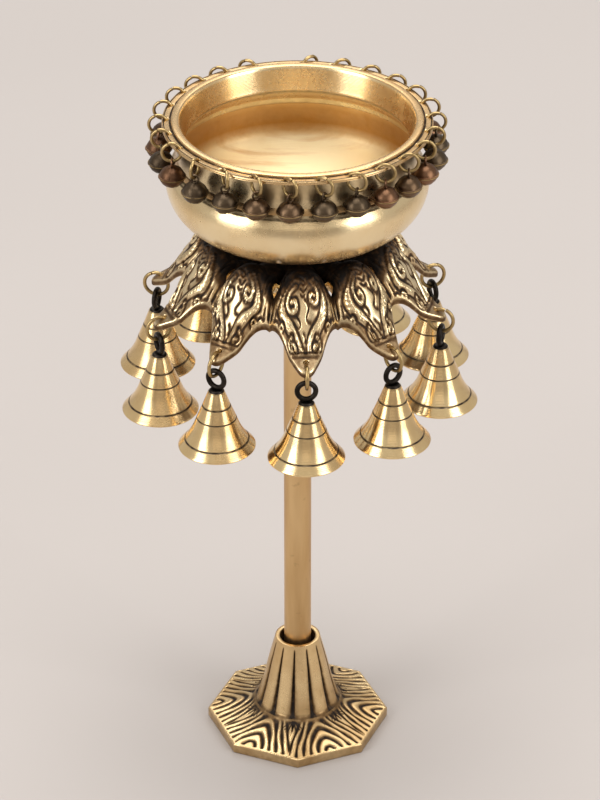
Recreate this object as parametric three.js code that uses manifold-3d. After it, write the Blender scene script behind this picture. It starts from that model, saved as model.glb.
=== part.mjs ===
// Brass standing bowl lamp with a bell crown. Millimetres, +Z up, front towards -Y.
import * as THREE from 'three';
import { toCreasedNormals } from 'three/addons/utils/BufferGeometryUtils.js';
import Module from 'manifold-3d';

const wasm = await Module();
wasm.setup();

const DEG = Math.PI / 180;

// Base: octagon plate, fluted cone and collar, hollow underneath.
const BASE_COLUMNS = 48;
const FLUTES = 12;
const FLUTE_TURN = 7.5;
const BASE_CORNER_R = 54.1;
const BASE_RIM_Z = 6.3;
const COLLAR_TOP_Z = 59.3;
const COLLAR_INNER_R = 10.6;
const WEB_BOTTOM_Z = 35;
const WEB_TOP_Z = 40;
const BOLT_HOLE_R = 4.4;

// Pole and the long bolt inside it.
const POLE_OUTER_R = 8;
const POLE_INNER_R = 6;
const POLE_TOP_Z = 312;
const BOLT_R = 3.9;
const BOLT_TOP_Z = 343.6;

// Crown of ten drooping petals.
const PETALS = 10;
const PETAL_STEP = 360 / PETALS;
const TWIST = 3.4;
const HUB_R = 20;
const SEAT_Z = 339.3;
const TIP_HOLE_R = 79.5;
const TIP_HOLE_Z = 293.2;
const TIP_HOLE_WIDTH_R = 2.15;
const TIP_SLOPE = 28;

// Bowl.
const BOWL_COLUMNS = 28;
const FLANGE_BOTTOM_Z = 401.8;
const FLANGE_TOP_Z = 403.6;
const FLANGE_HOLE_R = 72.4;
const FLANGE_HOLE_WIDTH_R = 2.2;

// Rings and bells on the crown.
const RING_MID_R = 7;
const RING_WIRE_R = 1.05;
const RING_OUT = 4.1;
const RING_BELOW = 5.15;
const LOOP_MID_R = 5.15;
const LOOP_WIRE_R = 1.5;
const LOOP_DROP = 2.55;
const BELL_DROP = 7.5;
const STAPLE_DROP = 4.2;
const STAPLE_MID_R = 1.6;
const STAPLE_WIRE_R = 0.55;

// Jingles on the bowl flange.
const JINGLES = 25;
const JINGLE_STEP = 14.1;
const JINGLE_FIRST = 177.5;
const JINGLE_RING_R = 5.3;
const JINGLE_WIRE_R = 0.95;
const JINGLE_SWIVEL = 50;
const JINGLE_RING_OUT = 4.82;
const JINGLE_RING_BELOW = 2.2;

const BRASS = { color: 0xc9a961, roughness: 0.28, metalness: 1 };
const ANTIQUE = { color: 0x9a7d48, roughness: 0.42, metalness: 1 };
const DARK_BRASS = { color: 0x5d4a3a, roughness: 0.5, metalness: 1 };
const STEEL = { color: 0x8d8f92, roughness: 0.4, metalness: 1 };

// Angle in degrees from the front, growing towards +X.
function polar(r, angle, z) {
  return new THREE.Vector3(r * Math.sin(angle * DEG), -r * Math.cos(angle * DEG), z);
}

// Straight-line reading of a list of [x, y] pairs sorted by x.
function along(pairs, x) {
  let i = 1;
  while (i < pairs.length - 1 && x > pairs[i][0]) i += 1;
  const [x0, y0] = pairs[i - 1];
  const [x1, y1] = pairs[i];
  const part = Math.min(1, Math.max(0, (x - x0) / (x1 - x0)));
  return y0 + (y1 - y0) * part;
}

// Joins loops of points into one closed skin. An open skin gets a fan at each end.
function skin(rows, closed = false) {
  const columns = rows[0].length;
  const points = rows.flat();
  const faces = [];
  const last = closed ? rows.length : rows.length - 1;
  for (let r = 0; r < last; r += 1) {
    const next = (r + 1) % rows.length;
    for (let c = 0; c < columns; c += 1) {
      const d = (c + 1) % columns;
      const a = r * columns + c;
      const b = r * columns + d;
      const e = next * columns + c;
      const f = next * columns + d;
      faces.push([a, b, f], [a, f, e]);
    }
  }
  if (!closed) {
    for (const [row, flip] of [[0, true], [rows.length - 1, false]]) {
      const middle = new THREE.Vector3();
      rows[row].forEach((p) => middle.add(p));
      const centre = points.push(middle.divideScalar(columns)) - 1;
      for (let c = 0; c < columns; c += 1) {
        const a = row * columns + c;
        const b = row * columns + ((c + 1) % columns);
        faces.push(flip ? [centre, b, a] : [centre, a, b]);
      }
    }
  }
  return solidFrom(points, faces);
}

// Turns points and faces into a manifold solid that faces outward.
function solidFrom(points, faces) {
  let volume = 0;
  for (const [a, b, c] of faces) {
    volume += points[a].dot(new THREE.Vector3().crossVectors(points[b], points[c]));
  }
  const facing = volume < 0 ? faces.map(([a, b, c]) => [a, c, b]) : faces;
  const vertProperties = new Float32Array(points.flatMap((p) => [p.x, p.y, p.z]));
  const triVerts = new Uint32Array(facing.flat());
  return new wasm.Manifold(new wasm.Mesh({ numProp: 3, vertProperties, triVerts }));
}

// Solid of revolution about Z from [r, z] pairs. Ends are closed at the axis.
function turned(profile, columns, closed = false) {
  const rows = profile.map(([r, z]) => {
    const row = [];
    for (let c = 0; c < columns; c += 1) row.push(polar(r, (c * 360) / columns, z));
    return row;
  });
  return skin(rows, closed);
}

// Ring of round wire. The plane is 'xz' or 'yz'.
function wireRing(mid, wire, plane, majors, minors) {
  const rows = [];
  for (let m = 0; m < majors; m += 1) {
    const a = ((m + 0.5) * 2 * Math.PI) / majors;
    const row = [];
    for (let n = 0; n < minors; n += 1) {
      const b = (n * 2 * Math.PI) / minors;
      const r = mid + wire * Math.cos(b);
      const side = wire * Math.sin(b);
      const flat = r * Math.cos(a);
      const up = r * Math.sin(a);
      row.push(plane === 'xz' ? new THREE.Vector3(flat, side, up) : new THREE.Vector3(side, flat, up));
    }
    rows.push(row);
  }
  return skin(rows, true);
}

// Upright round cutter.
function drill(r, x, y, z0, z1, columns) {
  const solid = turned([[r, z0], [r, z1]], columns);
  return solid.translate([x, y, 0]);
}

function moved(solid, angle, r, z) {
  const centre = polar(r, angle, z);
  return solid.rotate([0, 0, angle - 90]).translate([centre.x, centre.y, centre.z]);
}

function nodeFrom(name, solid, finish) {
  const mesh = solid.getMesh();
  const geometry = new THREE.BufferGeometry();
  const stride = mesh.numProp;
  const position = new Float32Array((mesh.vertProperties.length / stride) * 3);
  for (let i = 0; i < position.length / 3; i += 1) {
    for (let k = 0; k < 3; k += 1) position[i * 3 + k] = mesh.vertProperties[i * stride + k];
  }
  geometry.setAttribute('position', new THREE.BufferAttribute(position, 3));
  geometry.setIndex(new THREE.BufferAttribute(new Uint32Array(mesh.triVerts), 1));
  const node = new THREE.Mesh(toCreasedNormals(geometry, 35 * DEG), new THREE.MeshStandardMaterial(finish));
  node.name = name;
  return node;
}

// Distance from the axis to the octagon edge in this direction, for corner radius 1.
function octagon(angle) {
  const inSide = (((angle % 45) + 45) % 45) - 22.5;
  return Math.cos(22.5 * DEG) / Math.cos(inSide * DEG);
}

function base() {
  const cone = [[18.5, 23.6], [30, 20.4], [44, 17.2], [COLLAR_TOP_Z, 13.3]];
  const rows = [];
  const row = (radius, height) => {
    const points = [];
    for (let c = 0; c < BASE_COLUMNS; c += 1) {
      const angle = (c * 360) / BASE_COLUMNS;
      points.push(polar(radius(angle), angle, height));
    }
    rows.push(points);
  };
  const flute = (depth) => (angle) => depth * (0.5 + 0.5 * Math.cos((angle + FLUTE_TURN) * FLUTES * DEG));
  row((a) => BASE_CORNER_R * octagon(a), 0);
  row((a) => BASE_CORNER_R * octagon(a), BASE_RIM_Z);
  row((a) => 42 * octagon(a), 8.6);
  row(() => 30, 12.6);
  row(() => 25.6, 15);
  for (const [z, depth] of [[18.5, 1.7], [30, 1.6], [44, 1.2], [55, 0.7]]) {
    const cut = flute(depth);
    row((a) => along(cone, z) - cut(a), z);
  }
  row(() => 13.3, COLLAR_TOP_Z);
  row(() => COLLAR_INNER_R, COLLAR_TOP_Z);
  row(() => COLLAR_INNER_R, WEB_TOP_Z);
  row(() => BOLT_HOLE_R, WEB_TOP_Z);
  row(() => BOLT_HOLE_R, WEB_BOTTOM_Z);
  row(() => 12.5, WEB_BOTTOM_Z);
  row(() => 18.4, 16);
  row(() => 22, 10.6);
  row((a) => (BASE_CORNER_R - 7) * octagon(a), 4.4);
  row((a) => (BASE_CORNER_R - 9) * octagon(a), 0);
  return skin(rows, true);
}

function pole() {
  const rim = [[POLE_OUTER_R, WEB_TOP_Z], [POLE_OUTER_R, POLE_TOP_Z]];
  const bore = [[POLE_INNER_R, POLE_TOP_Z], [POLE_INNER_R, WEB_TOP_Z]];
  return turned([...rim, ...bore], 24, true);
}

function tieBolt() {
  const head = turned([[7.2, WEB_BOTTOM_Z - 6.8], [7.2, WEB_BOTTOM_Z - 1.4]], 6);
  const washer = turned([[9.4, WEB_BOTTOM_Z - 1.4], [9.4, WEB_BOTTOM_Z]], 16);
  const rod = turned([[BOLT_R, WEB_BOTTOM_Z - 3], [BOLT_R, BOLT_TOP_Z]], 12);
  return head.add(washer).add(rod);
}

// Half of one petal outline: degrees from its middle, distance from the axis.
const PETAL_EDGE = [
  [0, 86.2], [2.6, 84.6], [4.4, 80.8], [6.6, 76.4], [10.4, 69.4], [14, 64.8], [18, 62],
];
const PETAL_COLUMNS = [-18, -12.4, -7, -2.6, 0, 2.6, 7, 12.4];
const RIDGE = [
  [20, 324], [34, 327], [42, 332.2], [48, 334], [53, 332], [58, 326.4],
  [63, 318.4], [68, 309.6], [73, 300.6], [76.5, 296.7], [86.2, 291.7],
];
const VALLEY = [
  [20, 323], [34, 321.4], [46, 320], [54, 316.2], [62, 308.6], [69, 301.6], [76.5, 296.4], [86.2, 291.5],
];
const PETAL_RINGS = [0, 0.3, 0.52, 0.64, 0.8, 0.9, 1];

function petalTop(r, away) {
  const x = Math.abs(away) / 18;
  const round = 0.8 * (1 - x ** 2.2) + 0.1 * (1 + Math.cos(Math.PI * x));
  return along(VALLEY, r) + (along(RIDGE, r) - along(VALLEY, r)) * round;
}

function crownRow(share, lower) {
  const row = [];
  for (let p = 0; p < PETALS; p += 1) {
    for (const away of PETAL_COLUMNS) {
      const r = HUB_R + (along(PETAL_EDGE, Math.abs(away)) - HUB_R) * share;
      const drop = lower ? along([[20, 6], [60, 5], [75, 3.9], [86, 3.8]], r) : 0;
      row.push(polar(r, TWIST + p * PETAL_STEP + away, petalTop(r, away) - drop));
    }
  }
  return row;
}

function crown() {
  const round = (r, z) => crownRow(0, false).map((p) => new THREE.Vector3(p.x, p.y, 0)
    .setLength(r).setZ(z));
  const rows = [round(BOLT_HOLE_R, POLE_TOP_Z), round(BOLT_HOLE_R, SEAT_Z)];
  rows.push(round(HUB_R, SEAT_Z));
  for (const share of PETAL_RINGS) rows.push(crownRow(share, false));
  for (const share of [1, 0.8, 0.55, 0.3]) rows.push(crownRow(share, true));
  rows.push(round(13, 318), round(13, POLE_TOP_Z));
  let solid = skin(rows, true);
  for (let p = 0; p < PETALS; p += 1) {
    const angle = TWIST + p * PETAL_STEP;
    const tip = polar(TIP_HOLE_R, angle, TIP_HOLE_Z);
    const hole = turned([[TIP_HOLE_WIDTH_R, -6], [TIP_HOLE_WIDTH_R, 6]], 8)
      .rotate([0, TIP_SLOPE, 0])
      .rotate([0, 0, angle - 90])
      .translate([tip.x, tip.y, tip.z]);
    const valley = angle + PETAL_STEP / 2;
    const slit = turned([[1, -14], [1, 14]], 8).scale([4.6, 1.9, 1]);
    solid = solid.subtract(hole).subtract(moved(slit, valley, 46.5, 316));
  }
  return solid;
}

function bowl() {
  const outside = [
    [45.4, SEAT_Z], [56, 343], [65.4, 350], [72, 359], [73.6, 366], [70, 377.4],
    [67, 381.6], [66.9, FLANGE_BOTTOM_Z], [75.3, FLANGE_BOTTOM_Z],
    [75.3, FLANGE_TOP_Z], [70.1, FLANGE_TOP_Z], [69.6, 404.9], [65.7, 404.9],
  ];
  const inside = [
    [62.2, 390.6], [66.2, 384], [69.8, 371], [69.4, 361], [65.4, 357], [44, 351.6],
  ];
  let solid = turned([...outside, ...inside], BOWL_COLUMNS);
  for (let j = 0; j < JINGLES; j += 1) {
    const hole = polar(FLANGE_HOLE_R, jingleAngle(j), 0);
    solid = solid.subtract(drill(FLANGE_HOLE_WIDTH_R, hole.x, hole.y, FLANGE_BOTTOM_Z - 1, FLANGE_TOP_Z + 1, 5));
  }
  return solid.subtract(drill(4.1, 0, 0, SEAT_Z - 1, 344, 12));
}

function jingleAngle(j) {
  return JINGLE_FIRST - j * JINGLE_STEP;
}

// How far each jingle ring has turned away from the radial direction. Most rings turn towards a plane
// across the lamp, as far as their neighbours leave room.
function jingleSwivel(j) {
  const angle = jingleAngle(j);
  const side = angle > 0 ? 90 : -90;
  const nearFront = angle > -55 && angle < 0;
  const turn = nearFront ? JINGLE_SWIVEL + 1.85 * (angle + 34) : side - angle;
  return Math.max(-JINGLE_SWIVEL, Math.min(JINGLE_SWIVEL, turn));
}

const BELL_OUTSIDE = [[4.6, 0], [11.2, -16.8], [13.9, -23.6], [18, -30.2], [21.7, -34.6]];
const BELL_INSIDE = [[20.7, -35.2], [16, -30], [9.4, -17.8], [3.2, -3.2]];

function bell() {
  const body = turned([...BELL_OUTSIDE, ...BELL_INSIDE], 16).translate([0, 0, -BELL_DROP]);
  const collar = turned([[4.2, -BELL_DROP - 0.4], [3.4, -LOOP_MID_R - 0.6]], 6);
  const loop = wireRing(LOOP_MID_R, LOOP_WIRE_R, 'yz', 10, 5);
  const staple = wireRing(STAPLE_MID_R, STAPLE_WIRE_R, 'yz', 6, 4)
    .translate([0, 0, -BELL_DROP - STAPLE_DROP]);
  return body.add(collar).add(loop).add(staple);
}

// Hangs from the staple. Origin at its swing axis.
function clapper() {
  const eyeR = 1.6;
  const eyeWire = 0.5;
  const eye = wireRing(eyeR, eyeWire, 'xz', 6, 4).translate([0, 0, STAPLE_WIRE_R + eyeWire + 0.1 - eyeR]);
  const rod = turned([[0.75, -17.6], [0.75, -2.2]], 4);
  const ball = turned([[1.6, -23.4], [3.4, -20.6], [2.9, -17.6], [1, -16.2]], 7);
  return eye.add(rod).add(ball);
}

// Ring, small loop and round jingle in one piece. Origin at the ring centre.
function jingle() {
  const ring = wireRing(JINGLE_RING_R, JINGLE_WIRE_R, 'xz', 12, 4);
  const loop = wireRing(2.2, 0.6, 'yz', 6, 3).translate([0, 0, -JINGLE_RING_R - 0.9]);
  const shell = [[3.4, -20.5], [7.4, -15.1], [7.4, -13.9], [4.4, -9.8], [1.3, -8]];
  return ring.add(loop).add(turned(shell, 9));
}

const part = new THREE.Group();
part.name = 'bell_stand_lamp';

part.add(nodeFrom('base', base(), ANTIQUE));
part.add(nodeFrom('pole', pole(), BRASS));
part.add(nodeFrom('tie_bolt', tieBolt(), STEEL));
part.add(nodeFrom('crown', crown(), ANTIQUE));
part.add(nodeFrom('bowl', bowl(), BRASS));

const two = (n) => String(n + 1).padStart(2, '0');
const ringR = TIP_HOLE_R + RING_OUT;
const ringZ = TIP_HOLE_Z - RING_BELOW;
const loopZ = ringZ - RING_MID_R - LOOP_DROP;
const clapperZ = loopZ - BELL_DROP - STAPLE_DROP - STAPLE_MID_R;
const ringShape = wireRing(RING_MID_R, RING_WIRE_R, 'xz', 12, 5);
const bellShape = bell();
const clapperShape = clapper();
for (let p = 0; p < PETALS; p += 1) {
  const angle = TWIST + p * PETAL_STEP;
  part.add(nodeFrom(`crown_ring_${two(p)}`, moved(ringShape, angle, ringR, ringZ), BRASS));
  part.add(nodeFrom(`bell_${two(p)}`, moved(bellShape, angle, ringR, loopZ), BRASS));
  part.add(nodeFrom(`clapper_${two(p)}`, moved(clapperShape, angle, ringR, clapperZ), STEEL));
}

const jingleShape = jingle();
const jingleRingZ = (FLANGE_BOTTOM_Z + FLANGE_TOP_Z) / 2 - JINGLE_RING_BELOW;
for (let j = 0; j < JINGLES; j += 1) {
  const hole = polar(FLANGE_HOLE_R - 0.2, jingleAngle(j), jingleRingZ);
  const facing = jingleAngle(j) + jingleSwivel(j);
  const out = polar(JINGLE_RING_OUT, facing, 0);
  const solid = jingleShape.rotate([0, 0, facing - 90])
    .translate([hole.x + out.x, hole.y + out.y, jingleRingZ]);
  part.add(nodeFrom(`ghungroo_${two(j)}`, solid, DARK_BRASS));
}

export default part;
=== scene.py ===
import math
import random

import bpy
import numpy as np
from mathutils import Matrix, Vector


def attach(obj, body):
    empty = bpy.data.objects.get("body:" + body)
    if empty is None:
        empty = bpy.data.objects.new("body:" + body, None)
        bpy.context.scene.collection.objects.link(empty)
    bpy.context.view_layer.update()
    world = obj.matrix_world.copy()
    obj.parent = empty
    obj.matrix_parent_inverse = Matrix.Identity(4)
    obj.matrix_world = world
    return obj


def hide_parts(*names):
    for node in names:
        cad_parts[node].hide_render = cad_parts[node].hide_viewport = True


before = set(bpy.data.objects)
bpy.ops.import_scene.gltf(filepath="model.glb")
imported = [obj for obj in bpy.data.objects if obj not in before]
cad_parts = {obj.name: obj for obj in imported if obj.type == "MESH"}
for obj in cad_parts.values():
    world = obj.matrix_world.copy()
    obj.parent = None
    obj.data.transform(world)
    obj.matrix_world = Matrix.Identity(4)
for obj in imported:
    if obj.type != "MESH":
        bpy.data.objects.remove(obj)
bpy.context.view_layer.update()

MM = 0.001
TAU = 2 * math.pi

# Crown layout, in millimetres and degrees, as in the CAD part.
PETALS = 10
TWIST = 3.4
STEP = 36
HUB_R = 20
TIP_HOLE = (79.5, 293.2)
TIP_SLOPE = math.radians(28)
RING_MID_R = 7
RING_R = TIP_HOLE[0] + 4.1
RING_Z = TIP_HOLE[1] - 5.15
LOOP_Z = RING_Z - RING_MID_R - 2.55
BELL_TOP_Z = LOOP_Z - 7.5
CLAPPER_Z = BELL_TOP_Z - 5.8
BELL_LOOP_R = 5.15
STAPLE_R = 1.6

# Jingles on the bowl flange, counted from the back.
JINGLES = 25
FIRST_JINGLE = 177.5
JINGLE_STEP = 14.1
MAX_SWIVEL = 50.0
FLANGE_BOTTOM_Z = 401.8
FLANGE_TOP_Z = 403.6
FLANGE_HOLE_R = 72.4
DRILL_R = 1.4
FLANGE_RING_R = 5.3
FLANGE_RING_OUT = 4.82
FLANGE_RING_Z = 400.5


# ---------------------------------------------------------------- small helpers


def smooth(points, steps=6):
    """Catmull-Rom curve through 2-D or 3-D points."""
    p = np.asarray(points, float)
    p = np.vstack([2 * p[0] - p[1], p, 2 * p[-1] - p[-2]])
    out = []
    for i in range(1, len(p) - 2):
        for t in np.linspace(0, 1, steps, endpoint=False):
            a = 2 * p[i]
            b = (p[i + 1] - p[i - 1]) * t
            c = (2 * p[i - 1] - 5 * p[i] + 4 * p[i + 1] - p[i + 2]) * t**2
            d = (3 * p[i] - p[i - 1] - 3 * p[i + 1] + p[i + 2]) * t**3
            out.append(0.5 * (a + b + c + d))
    out.append(p[-2])
    return np.array(out)


def grid_faces(rows, columns, close_rows=False):
    """Quads of a grid that wraps round its columns."""
    index = np.arange(rows * columns).reshape(rows, columns)
    down = np.roll(index, -1, axis=0)
    side = np.roll(index, -1, axis=1)
    both = np.roll(down, -1, axis=1)
    quads = np.stack([index, side, both, down], axis=-1)
    if not close_rows:
        quads = quads[:-1]
    return quads.reshape(-1, 4)


def mesh_from(name, verts, faces, fields=None, sharp=40):
    """Mesh from millimetre vertices, with extra float fields on its points."""
    mesh = bpy.data.meshes.new(name)
    mesh.from_pydata((np.asarray(verts) * MM).tolist(), [], [list(map(int, f)) for f in faces])
    for key, values in (fields or {}).items():
        layer = mesh.attributes.new(key, "FLOAT", "POINT")
        layer.data.foreach_set("value", np.asarray(values, np.float32).ravel())
    mesh.validate()
    mesh.polygons.foreach_set("use_smooth", [True] * len(mesh.polygons))
    mesh.set_sharp_from_angle(angle=math.radians(sharp))
    return mesh


def outward(verts, faces):
    """Flips the faces if the closed surface they make is inside out."""
    v = np.asarray(verts)
    f = np.asarray(faces)
    volume = np.einsum("ij,ij->i", v[f[:, 0]], np.cross(v[f[:, 1]], v[f[:, 2]])).sum()
    if f.shape[1] == 4:
        volume += np.einsum("ij,ij->i", v[f[:, 0]], np.cross(v[f[:, 2]], v[f[:, 3]])).sum()
    return f[:, ::-1] if volume < 0 else f


def turned(name, profile, columns, patina_and_shade=None, closed=True, dents=0.0, brushed_and_highlit=None, amber_tarnish_and_shade=None):
    """Solid of revolution about Z. The profile is [r, z] pairs, a loop or open from axis to axis."""
    p = np.asarray(profile, float)
    a = np.arange(columns) * TAU / columns
    uneven = np.sin(3 * a + 2.1 * p[:, 1, None]) * np.sin(5 * a - 1.3 * p[:, 1, None])
    reach = p[:, 0, None] + dents * uneven * np.clip(p[:, 0, None] - 0.5, 0, 1)
    verts = np.stack(
        [
            reach * np.cos(a),
            reach * np.sin(a),
            np.repeat(p[:, 1, None], columns, axis=1),
        ],
        axis=-1,
    ).reshape(-1, 3)
    faces = outward(verts, grid_faces(len(p), columns, closed))
    fields = {}
    for key, values in (("patina_and_shade", patina_and_shade), ("brushed_and_highlit", brushed_and_highlit), ("amber_tarnish_and_shade", amber_tarnish_and_shade)):
        if values is not None:
            fields[key] = np.repeat(np.asarray(values, float), columns)
    return mesh_from(name, verts, faces, fields)


def tube(name, path, radius, sides, closed=False):
    """Round wire along a path of 3-D points."""
    p = np.asarray(path, float)
    if closed:
        tangent = np.roll(p, -1, axis=0) - np.roll(p, 1, axis=0)
    else:
        tangent = np.gradient(p, axis=0)
    tangent /= np.linalg.norm(tangent, axis=1, keepdims=True)
    flat = np.linalg.svd(p - p.mean(axis=0))[2][2]
    side = np.cross(tangent, flat)
    side /= np.linalg.norm(side, axis=1, keepdims=True)
    up = np.cross(side, tangent)
    a = np.arange(sides) * TAU / sides
    ring = np.cos(a)[None, :, None] * side[:, None] + np.sin(a)[None, :, None] * up[:, None]
    radii = np.broadcast_to(np.asarray(radius, float), (len(p),))
    verts = (p[:, None] + radii[:, None, None] * ring).reshape(-1, 3)
    faces = grid_faces(len(p), sides, closed)
    if closed:
        return mesh_from(name, verts, outward(verts, faces))
    verts = np.vstack([verts, p[0], p[-1]])
    first = [[len(verts) - 2, (i + 1) % sides, i] for i in range(sides)]
    start = (len(p) - 1) * sides
    last = [[len(verts) - 1, start + i, start + (i + 1) % sides] for i in range(sides)]
    return mesh_from(name, verts, [list(f) for f in faces] + first + last)


def shown(name, mesh, material, body, nodes, matrix=None):
    """Places a mesh as a piece that rides on a body and stands for CAD nodes. Pieces can share a mesh."""
    obj = bpy.data.objects.new(name, mesh)
    bpy.context.scene.collection.objects.link(obj)
    if matrix is not None:
        obj.matrix_world = matrix
    if not mesh.materials:
        mesh.materials.append(material)
    elif mesh.materials[0] != material:
        obj.material_slots[0].link = "OBJECT"
        obj.material_slots[0].material = material
    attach(obj, body)
    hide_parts(*nodes)
    return obj


def polar(r, angle, z):
    """Point at an angle in degrees from the front, growing towards +X."""
    a = math.radians(angle)
    return Vector((r * math.sin(a), -r * math.cos(a), z)) * MM


def placed(r, angle, z):
    """Matrix with X outward and Z up at a polar place."""
    return Matrix.Translation(polar(r, angle, z)) @ Matrix.Rotation(math.radians(angle - 90), 4, "Z")


def prism_faces(start, sides):
    """Walls and ends between two rings of points, the first of which starts at an index."""
    walls = [
        [start + i, start + (i + 1) % sides, start + sides + (i + 1) % sides, start + sides + i]
        for i in range(sides)
    ]
    low = [start + i for i in reversed(range(sides))]
    high = [start + sides + i for i in range(sides)]
    return [*walls, low, high]


def cut(body_mesh, tool_mesh):
    """Takes one closed mesh out of another."""
    scene = bpy.context.scene.collection
    body = bpy.data.objects.new("cut_body", body_mesh)
    tool = bpy.data.objects.new("cut_tool", tool_mesh)
    scene.objects.link(body)
    scene.objects.link(tool)
    step = body.modifiers.new("cut", "BOOLEAN")
    step.operation = "DIFFERENCE"
    step.solver = "EXACT"
    step.object = tool
    bpy.context.view_layer.update()
    done = bpy.data.meshes.new_from_object(body.evaluated_get(bpy.context.evaluated_depsgraph_get()))
    bpy.data.objects.remove(body)
    bpy.data.objects.remove(tool)
    return done


# ---------------------------------------------------------------- materials

# Tints that the brass takes where a field or its patina asks for them. The pale floor tint is a painted
# highlight, and the warm golden tint mixes tarnish with painted shade and glow.
# Painted highlight: pale cream on the bowl floor and lower inner wall.
PAINTED_FLOOR_HIGHLIGHT = "fff2ca"
STROKES = "c9924a"
# Warm golden tint: tarnish, with painted shade and painted glow inside the bowl, and painted shade under it.
AMBER_TARNISH_AND_SHADE = "b57c2e"
BRONZE = "6e4826"


class Nodes:
    """Short way to write a shader tree."""

    def __init__(self, name):
        self.material = bpy.data.materials.new(name)
        self.material.use_nodes = True
        self.tree = self.material.node_tree
        self.shader = self.tree.nodes["Principled BSDF"]
        self.coords = self.tree.nodes.new("ShaderNodeTexCoord").outputs["Object"]

    def put(self, socket, value):
        """Links another socket, or sets a plain value."""
        if hasattr(value, "is_output"):
            self.tree.links.new(value, socket)
        else:
            socket.default_value = value

    def noise(self, scale, detail, stretch=None):
        node = self.tree.nodes.new("ShaderNodeTexNoise")
        vector = self.coords
        if stretch:
            mapping = self.tree.nodes.new("ShaderNodeMapping")
            mapping.inputs["Scale"].default_value = stretch
            self.tree.links.new(vector, mapping.inputs["Vector"])
            vector = mapping.outputs["Vector"]
        self.tree.links.new(vector, node.inputs["Vector"])
        node.inputs["Scale"].default_value = scale
        node.inputs["Detail"].default_value = detail
        node.inputs["Roughness"].default_value = 0.55
        return node.outputs["Fac"]

    def spread(self, value, low, high, to_low=0.0, to_high=1.0):
        """Maps one range to another and clamps the result."""
        node = self.tree.nodes.new("ShaderNodeMapRange")
        self.put(node.inputs["Value"], value)
        for key, number in (("From Min", low), ("From Max", high), ("To Min", to_low), ("To Max", to_high)):
            node.inputs[key].default_value = number
        return node.outputs["Result"]

    def math(self, kind, a, b):
        node = self.tree.nodes.new("ShaderNodeMath")
        node.operation = kind
        self.put(node.inputs[0], a)
        self.put(node.inputs[1], b)
        return node.outputs[0]

    def mix(self, factor, a, b):
        node = self.tree.nodes.new("ShaderNodeMix")
        node.data_type = "RGBA"
        self.put(node.inputs["Factor"], factor)
        self.put(node.inputs[6], a)
        self.put(node.inputs[7], b)
        return node.outputs[2]

    def field(self, name):
        """Reads a float field of the mesh points."""
        node = self.tree.nodes.new("ShaderNodeAttribute")
        node.attribute_name = name
        return node.outputs["Fac"]

    def bump(self, height, strength, distance, before=None):
        node = self.tree.nodes.new("ShaderNodeBump")
        node.inputs["Strength"].default_value = strength
        node.inputs["Distance"].default_value = distance
        self.put(node.inputs["Height"], height)
        if before is not None:
            self.tree.links.new(before, node.inputs["Normal"])
        return node.outputs["Normal"]


def rgba(hexa):
    """Linear colour from a hex string."""
    parts = [int(hexa[i : i + 2], 16) / 255 for i in (0, 2, 4)]
    linear = [c / 12.92 if c <= 0.04045 else ((c + 0.055) / 1.055) ** 2.4 for c in parts]
    return (*linear, 1.0)


def tinted(n, colour):
    """Painted highlight of pale cream where the metal has a brush finish, brush strokes there, and a warm
    golden tint where its own field asks for it: tarnish with painted shade and glow.
    """
    colour = n.mix(n.math("MULTIPLY", n.field("brushed_and_highlit"), 0.7), colour, rgba(PAINTED_FLOOR_HIGHLIGHT))
    strokes = n.spread(n.noise(70, 4, (0.3, 2.2, 1)), 0.5, 0.72)
    strokes = n.math("MULTIPLY", strokes, n.field("brushed_and_highlit"))
    colour = n.mix(n.math("MULTIPLY", strokes, 0.55), colour, rgba(STROKES))
    return n.mix(n.field("amber_tarnish_and_shade"), colour, rgba(AMBER_TARNISH_AND_SHADE))


def lathe_marks(n, strength, before):
    """Fine turned grooves round the axis."""
    wave = n.tree.nodes.new("ShaderNodeTexWave")
    wave.bands_direction = "Z"
    wave.inputs["Scale"].default_value = 420
    wave.inputs["Distortion"].default_value = 1.2
    n.tree.links.new(n.coords, wave.inputs["Vector"])
    return n.bump(wave.outputs["Fac"], strength, 0.00006, before)


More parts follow.
